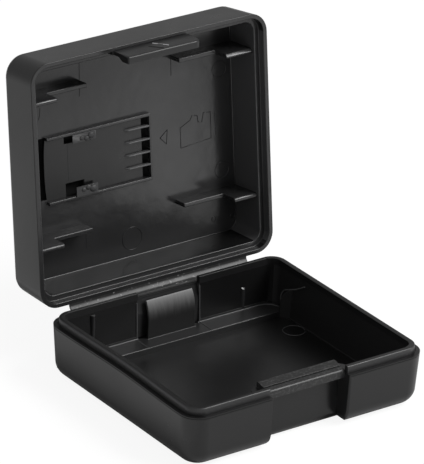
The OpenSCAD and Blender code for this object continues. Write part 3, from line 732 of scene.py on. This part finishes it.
open_lid(bed)
satin.wear(bed, "moulding_inner")
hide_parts("card_bed")
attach(bed, "lid")

comb, comb_x, comb_half = None, -1.0, 0.17
for y in (-3.6, -1.2, 1.2, 3.6):
    wedge = block("card_comb_moulded", (comb_x, y - comb_half, frame_top + 0.05),
                  (frame_in + 0.1, y + comb_half, bed_top + 0.1))
    choose(wedge, "FACE")
    bpy.ops.mesh.bisect(plane_co=(comb_x * MM, 0, bed_top * MM), plane_no=(-1.0, 0, -7.0),
                        use_fill=True, clear_outer=True)
    done()
    for v in wedge.data.vertices:
        v.co.y = (y + (v.co.y / MM - y) * (0.5 + 0.5 * (v.co.x / MM - comb_x) / 5.2)) * MM
    soften(wedge, 0.05, 2)
    if comb is None:
        comb = wedge
    else:
        carve(comb, wedge, "UNION")
soften(comb, 0)
open_lid(comb)
# Painted highlights: a pale copy of the plastic for the comb's wedges and for the beads on the base and
# along the guides.
painted_highlight_line = polypropylene("painted_highlight_line_polypropylene", 0.10, 0.32, 4200.0, 0.01, 0.1)
painted_highlight_line.wear(comb, "moulding_inner")
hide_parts("card_comb")
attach(comb, "lid")

# Painted light: a paler, rougher copy of the plastic for the clips.
clip_finish = polypropylene("clip_polypropylene", 0.045, 0.52, 5200.0, 0.02, 0.18)
clip_low, clip_high, clip_end, bump_z = lid_floor - 1.0, lid_floor - 0.78, -7.3, lid_floor - 0.98
for side, name, x0, wall, free in ((-1, "front", -12.2, -5.45, -3.87), (1, "rear", -11.8, 6.1, 4.35)):
    y0, y1 = sorted((wall, free))
    clip = block("card_clip_" + name + "_moulded", (x0, y0, clip_low), (clip_end, y1, clip_high))
    for x, y, r in ((-8.3, 0.85, 0.62), (-9.3, 0.45, 0.45), (-8.4, 0.25, 0.3), (-10.3, 0.7, 0.4)):
        bpy.ops.object.select_all(action="DESELECT")
        spot = (x * MM, (free + side * y) * MM, bump_z * MM)
        bpy.ops.mesh.primitive_uv_sphere_add(segments=24, ring_count=12, radius=r * MM, location=spot)
        bump = bpy.context.object
        bump.scale = (1.2, 1, 0.5)
        bpy.ops.object.transform_apply(location=True, rotation=True, scale=True)
        carve(clip, bump, "UNION")
    soften(clip, 0.1, 3)
    open_lid(clip)
    clip_finish.wear(clip, "moulding_inner")
    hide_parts("card_clip_" + name)
    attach(clip, "lid")

# ---- Latch tab -------------------------------------------------------------------------
# The snap tab, of the same plastic and moulded in one with the middle of the lid's rim: a stiff
# leaf with a wedge-faced hook along its free edge, rounded at its ends, on a root thin enough
# to flex.
tab_half, tab_out, tab_in, tab_end, hook_in, hook_z, hook_start = 7.75, -21.87, -21.15, 5.3, 0.6, 7.3, 8.35
sign_x, sign_r, sign_z, sign_t = -0.1, 1.9, 7.3, 0.28
tab = block("latch_tab_moulded", (-tab_half, tab_out, tab_end), (tab_half, tab_in, rim_z + 0.6))
choose(tab, "FACE", lambda c, n: n.y > 0.9)
bpy.ops.mesh.bisect(plane_co=(0, 0, hook_start * MM), plane_no=(0, 0, 1))
bpy.ops.mesh.select_all(action="SELECT")
bpy.ops.mesh.bisect(plane_co=(0, 0, hook_z * MM), plane_no=(0, 0, 1))
done()
choose(tab, "EDGE", lambda a, b: min(a.y, b.y) > tab_in - 0.01 and max(a.z, b.z) < hook_z + 0.1)
bpy.ops.transform.translate(value=(0, hook_in * MM, 0))
done()
for side, corner in ((-1, 0.3), (1, 1.3)):
    round_edges(tab, lambda a, b: min(side * a.x, side * b.x) > tab_half - 0.05
                and max(a.z, b.z) < tab_end + 0.01, corner, 8)
round_edges(tab, lambda a, b: max(a.y, b.y) < tab_out + 0.01 and max(a.z, b.z) < 9.5, 0.36, 6)
round_edges(tab, lambda a, b: min(a.y, b.y) > tab_in + 0.1 and max(a.z, b.z) < tab_end + 0.4
            and abs(a.x - b.x) > 3, 0.3, 4)
groove = block("groove", (-10, tab_out - 1, rim_z - 0.3), (10, tab_out + 0.22, rim_z - 0.02))
carve(tab, groove)
soften(tab, 0.1, 3, 30)
bpy.ops.object.select_all(action="DESELECT")
spot = (sign_x * MM, (tab_out + 0.03) * MM, sign_z * MM)
bpy.ops.mesh.primitive_cylinder_add(vertices=3, radius=sign_r * MM, depth=sign_t * MM, location=spot)
sign = bpy.context.object
choose(sign, "FACE")
bpy.ops.transform.rotate(value=math.radians(90), orient_axis="X", center_override=spot)
done()
bpy.ops.object.transform_apply(location=True, rotation=True, scale=True)
round_edges(sign, lambda a, b: max(a.y, b.y) < tab_out - 0.05, 0.12, 1)
carve(tab, sign, "UNION")
open_lid(tab)
lip_finish.wear(tab, "moulding")
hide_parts("latch_tab")
y0, z0 = opened(-21.575, rim_z + 0.25)
y1, z1 = opened(-21.575, rim_z - 0.25)
y0 * MM
z0 * MM
y1 * MM
z1 * MM
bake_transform(tab)

# ---- Moulded lines and marks -----------------------------------------------------------
# Fine raised lines, moulded in one with the shells: round ejector marks, the joints of the mould's
# inserts and plain generic signs by the card pocket, in the lid's glossy finish. The lines on the
# base, the beads along the guides' shoulders and the bead across the latch's sign are painted pale,
# as painted highlights.


def line(name, points, radius, closed=False):
    """A thin round bead through the points, half sunk in the surface that they lie on."""
    bpy.ops.object.select_all(action="DESELECT")
    bpy.ops.curve.primitive_nurbs_path_add()
    bead = bpy.context.object
    bead.data.splines.clear()
    run = bead.data.splines.new("POLY")
    run.points.add(len(points) - 1)
    for spot, (x, y, z) in zip(run.points, points):
        spot.co = (x * MM, y * MM, z * MM, 1)
    run.use_cyclic_u = closed
    bead.data.bevel_depth, bead.data.bevel_resolution = radius * MM, 2
    bead.data.use_fill_caps = True
    bpy.ops.object.convert(target="MESH")
    bead = bpy.context.object
    bead.name = bead.data.name = name
    bpy.ops.object.shade_smooth_by_angle(angle=math.radians(50))
    return bead


def ring(name, x, y, z, r, radius):
    """A round ejector mark: a bead on a full circle, level with the floor that it lies on."""
    turn = [math.tau * k / 32 for k in range(32)]
    return line(name, [(x + r * math.cos(a), y + r * math.sin(a), z) for a in turn], radius, True)


def joined(pieces, name):
    bpy.ops.object.select_all(action="DESELECT")
    for piece in pieces:
        piece.select_set(True)
    bpy.context.view_layer.objects.active = pieces[0]
    bpy.ops.object.join()
    pieces[0].name = pieces[0].data.name = name
    return pieces[0]


z = lid_floor - 0.01
signs = joined([
    line("card_sign", [(11.3, 2.4, z), (11.3, -1.4, z), (13.5, -2.4, z), (13.9, -3.2, z), (15.0, -3.0, z),
                       (15.2, -1.7, z), (16.0, -1.6, z), (16.4, -3.2, z), (17.9, -3.0, z), (17.9, 1.9, z)],
         0.075, True),
    line("card_edge", [(18.9, -2.8, z), (18.9, 1.6, z)], 0.06),
    line("arrow", [(8.2, 0.9, z), (6.9, -0.5, z), (8.5, -1.7, z)], 0.09, True),
], "moulded_signs")
open_lid(signs)
polished.wear(signs, "moulding_inner")
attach(signs, "lid")

lid_marks = joined([
    ring("ejector_low", 0.1, 16.9, z, 2.1, 0.07),
    ring("ejector_high", 20.1, -10.6, z, 1.5, 0.06),
    ring("ejector_side", 20.0, 8.4, z, 1.5, 0.06),
    ring("dot_a", 17.9, 17.4, z, 0.45, 0.07),
    ring("dot_b", 22.0, 17.6, z, 0.45, 0.07),
    line("insert_right", [(9.82, -15.5, z), (9.74, -11.6, z)], 0.07),
    line("insert_left", [(-9.5, -18.6, z), (-9.6, -16.0, z), (-9.75, -11.9, z)], 0.07),
    line("insert_low", [(-18.05, -11.6, z), (-18.2, -10.2, z), (-18.5, -9.4, z)], 0.07),
    line("bed_crease", [(crease_x, -3.7, bed_top), (crease_x, 3.4, bed_top)], 0.035),
    line("insert_bottom", [(-9.6, 12.6, z), (-9.7, 16.4, z)], 0.05),
], "lid_mould_lines")
open_lid(lid_marks)
polished.wear(lid_marks, "moulding_inner")
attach(lid_marks, "lid")

z = ledge_z - 0.01
base_marks = joined([
    ring("ejector_base", 20.6, 10.7, floor_t - 0.01, 2.0, 0.07),
    line("witness_left", [(-7.0, 20.1, z), (-7.0, 16.45, z)], 0.07),
    line("witness_right", [(6.75, 20.1, z), (6.75, 16.45, z)], 0.07),
    line("slot_edge_left", [(-6.84, 20.64, 9.4), (-6.84, 20.44, 5.5), (-6.86, 20.29, 2.5)], 0.13),
    line("slot_edge_right", [(6.67, 20.67, 9.5), (6.67, 20.47, 5.5), (6.69, 20.32, 2.5)], 0.12),
    line("foot_left", [(-21.4, 20.14, z + 0.06), (-7.0, 20.14, z + 0.06)], 0.09),
    line("foot_right", [(6.2, 20.14, z + 0.06), (19.6, 20.14, z + 0.06), (20.9, 19.9, z + 0.04),
                        (21.9, 19.2, z + 0.03), (22.4, 18.0, z)], 0.09),
    line("tongue_foot", [(-5.2, 19.33, ledge_z - 0.06), (5.2, 19.33, ledge_z - 0.06)], 0.05),
], "base_mould_lines")
painted_highlight_line.wear(base_marks, "moulding_inner")
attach(base_marks, "base")

# Painted highlight: a pale bead across the latch's sign.
glint = line("latch_sign_painted_highlight", [(-0.1, tab_out, 9.1), (1.45, tab_out, 6.45)], 0.125)
open_lid(glint)
scraped = polypropylene("painted_highlight_polypropylene", 0.5, 0.4, 5200.0, 0.01, 0.12)
scraped.wear(glint, "moulding")
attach(glint, "latch")

turn_y, turn_z, turn_r = 13.75, 5.15, 2.45
for side, name in ((-1, "left"), (1, "right")):
    x = side * (guide_wall - guide_t + 0.02)
    shoulder = [(x, 16.24, 4.9)]
    for turn in range(0, 66, 8):
        a = math.radians(turn)
        shoulder.append((x, turn_y + turn_r * math.cos(a), turn_z + turn_r * math.sin(a)))
    shoulder += [(x + side * 0.35, 12.3, 8.35), (x + side * 0.75, 10.2, 9.62)]
    edge = line("guide_edge_" + name, shoulder, 0.11)
    painted_highlight_line.wear(edge, "moulding_inner")
    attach(edge, "base")

# ---- Floor and light -------------------------------------------------------------------
# A white sheet under the case that keeps a faint shadow, a soft white room, one big softbox high
# at the front right that draws the thin bright lines along the edges, and a small one low behind
# the left side. Away from the case, glossy rays see the sheet glow with a painted pool of light
# and a darker stripe: a painted reflection.
bpy.ops.object.select_all(action="DESELECT")
bpy.ops.mesh.primitive_plane_add(size=6, location=(0, 0, -0.05 * MM))
floor = bpy.context.object
floor.name = "floor"
sheet = Finish("white_sheet", base_color=(0.8, 0.8, 0.8, 1), roughness=0.8)
east = sheet.add("ShaderNodeSeparateXYZ", {}, {"Vector": sheet.where()}, "X")
north = sheet.add("ShaderNodeSeparateXYZ", {}, {"Vector": sheet.where()}, "Y")
across = east * 810.0 + north * 580.0
along = east * 580.0 - north * 810.0
# Painted reflection: glossy rays see the sheet glow, far from the case and beside its left side, brighter in
# a pool and darker in a stripe.
pool = sheet.add("ShaderNodeValToRGB", {"stops": (
    (0.0, 0.52), (0.25, 0.55), (0.35, 0.64), (0.43, 0.88), (0.50, 1.0), (0.555, 1.06), (0.585, 1.0),
    (0.615, 0.32), (0.80, 0.30), (1.0, 0.45),
)}, {"Fac": across * 0.01 + 0.3})
near_left = sheet.add("ShaderNodeValToRGB", {"stops": (
    (0.27, 0.0), (0.32, 0.5), (0.36, 0.75), (0.42, 0.35), (0.48, 0.0),
)}, {"Fac": east * -10.0})
far = sheet.between(along, 40.0, 64.0)
open_sheet = sheet.add("ShaderNodeMath", {"operation": "MAXIMUM"}, {0: far, 1: near_left})
seen_directly = sheet.add("ShaderNodeLightPath", {}, {}, "Is Camera Ray")
seen_in_gloss = sheet.add("ShaderNodeLightPath", {}, {}, "Is Glossy Ray")
plain = Value(sheet, sheet.shader.outputs[0])
shine = sheet.add("ShaderNodeEmission", {}, {"Strength": pool * 1.75})
white = sheet.add("ShaderNodeEmission", {}, {"Strength": 1.12})
shaded = sheet.add("ShaderNodeMixShader", {}, {0: 0.8, 1: plain, 2: white})
lit = sheet.add("ShaderNodeMixShader", {}, {0: seen_in_gloss * open_sheet, 1: plain, 2: shine})
shown = sheet.add("ShaderNodeMixShader", {}, {0: seen_directly, 1: lit, 2: shaded})
sheet.feed(sheet.tree.nodes["Material Output"].inputs["Surface"], shown)
floor.data.materials.append(sheet.material)

room = bpy.data.worlds.new("room")
room.use_nodes = True
bpy.context.scene.world = room
seen = room.node_tree.nodes.new("ShaderNodeLightPath")
behind = room.node_tree.nodes.new("ShaderNodeMix")
behind.inputs["A"].default_value, behind.inputs["B"].default_value = 0.36, 1.0
room.node_tree.links.new(seen.outputs["Is Camera Ray"], behind.inputs["Factor"])
room.node_tree.links.new(behind.outputs["Result"], room.node_tree.nodes["Background"].inputs["Strength"])
room.node_tree.nodes["Background"].inputs["Color"].default_value = (1, 1, 1, 1)


def softbox(name, direction, distance, size, radiance):
    """A square area light that faces the case and shines with the given radiance."""
    place = Vector(direction).normalized() * distance + Vector((0, 0, 0.02))
    bpy.ops.object.light_add(type="AREA", location=place)
    lamp = bpy.context.object
    lamp.name = name
    lamp.data.shape, lamp.data.size = "SQUARE", size
    lamp.data.energy = radiance * math.pi * size * size
    lamp.rotation_euler = Vector(direction).to_track_quat("Z", "Y").to_euler()
    return lamp


softbox("key_softbox", (0.53, -0.47, 0.70), 0.8, 0.42, 9.0)
softbox("fill_softbox", (-0.76, 0.44, 0.48), 1.0, 0.24, 0.5)

bpy.context.scene.view_settings.view_transform = "Standard"
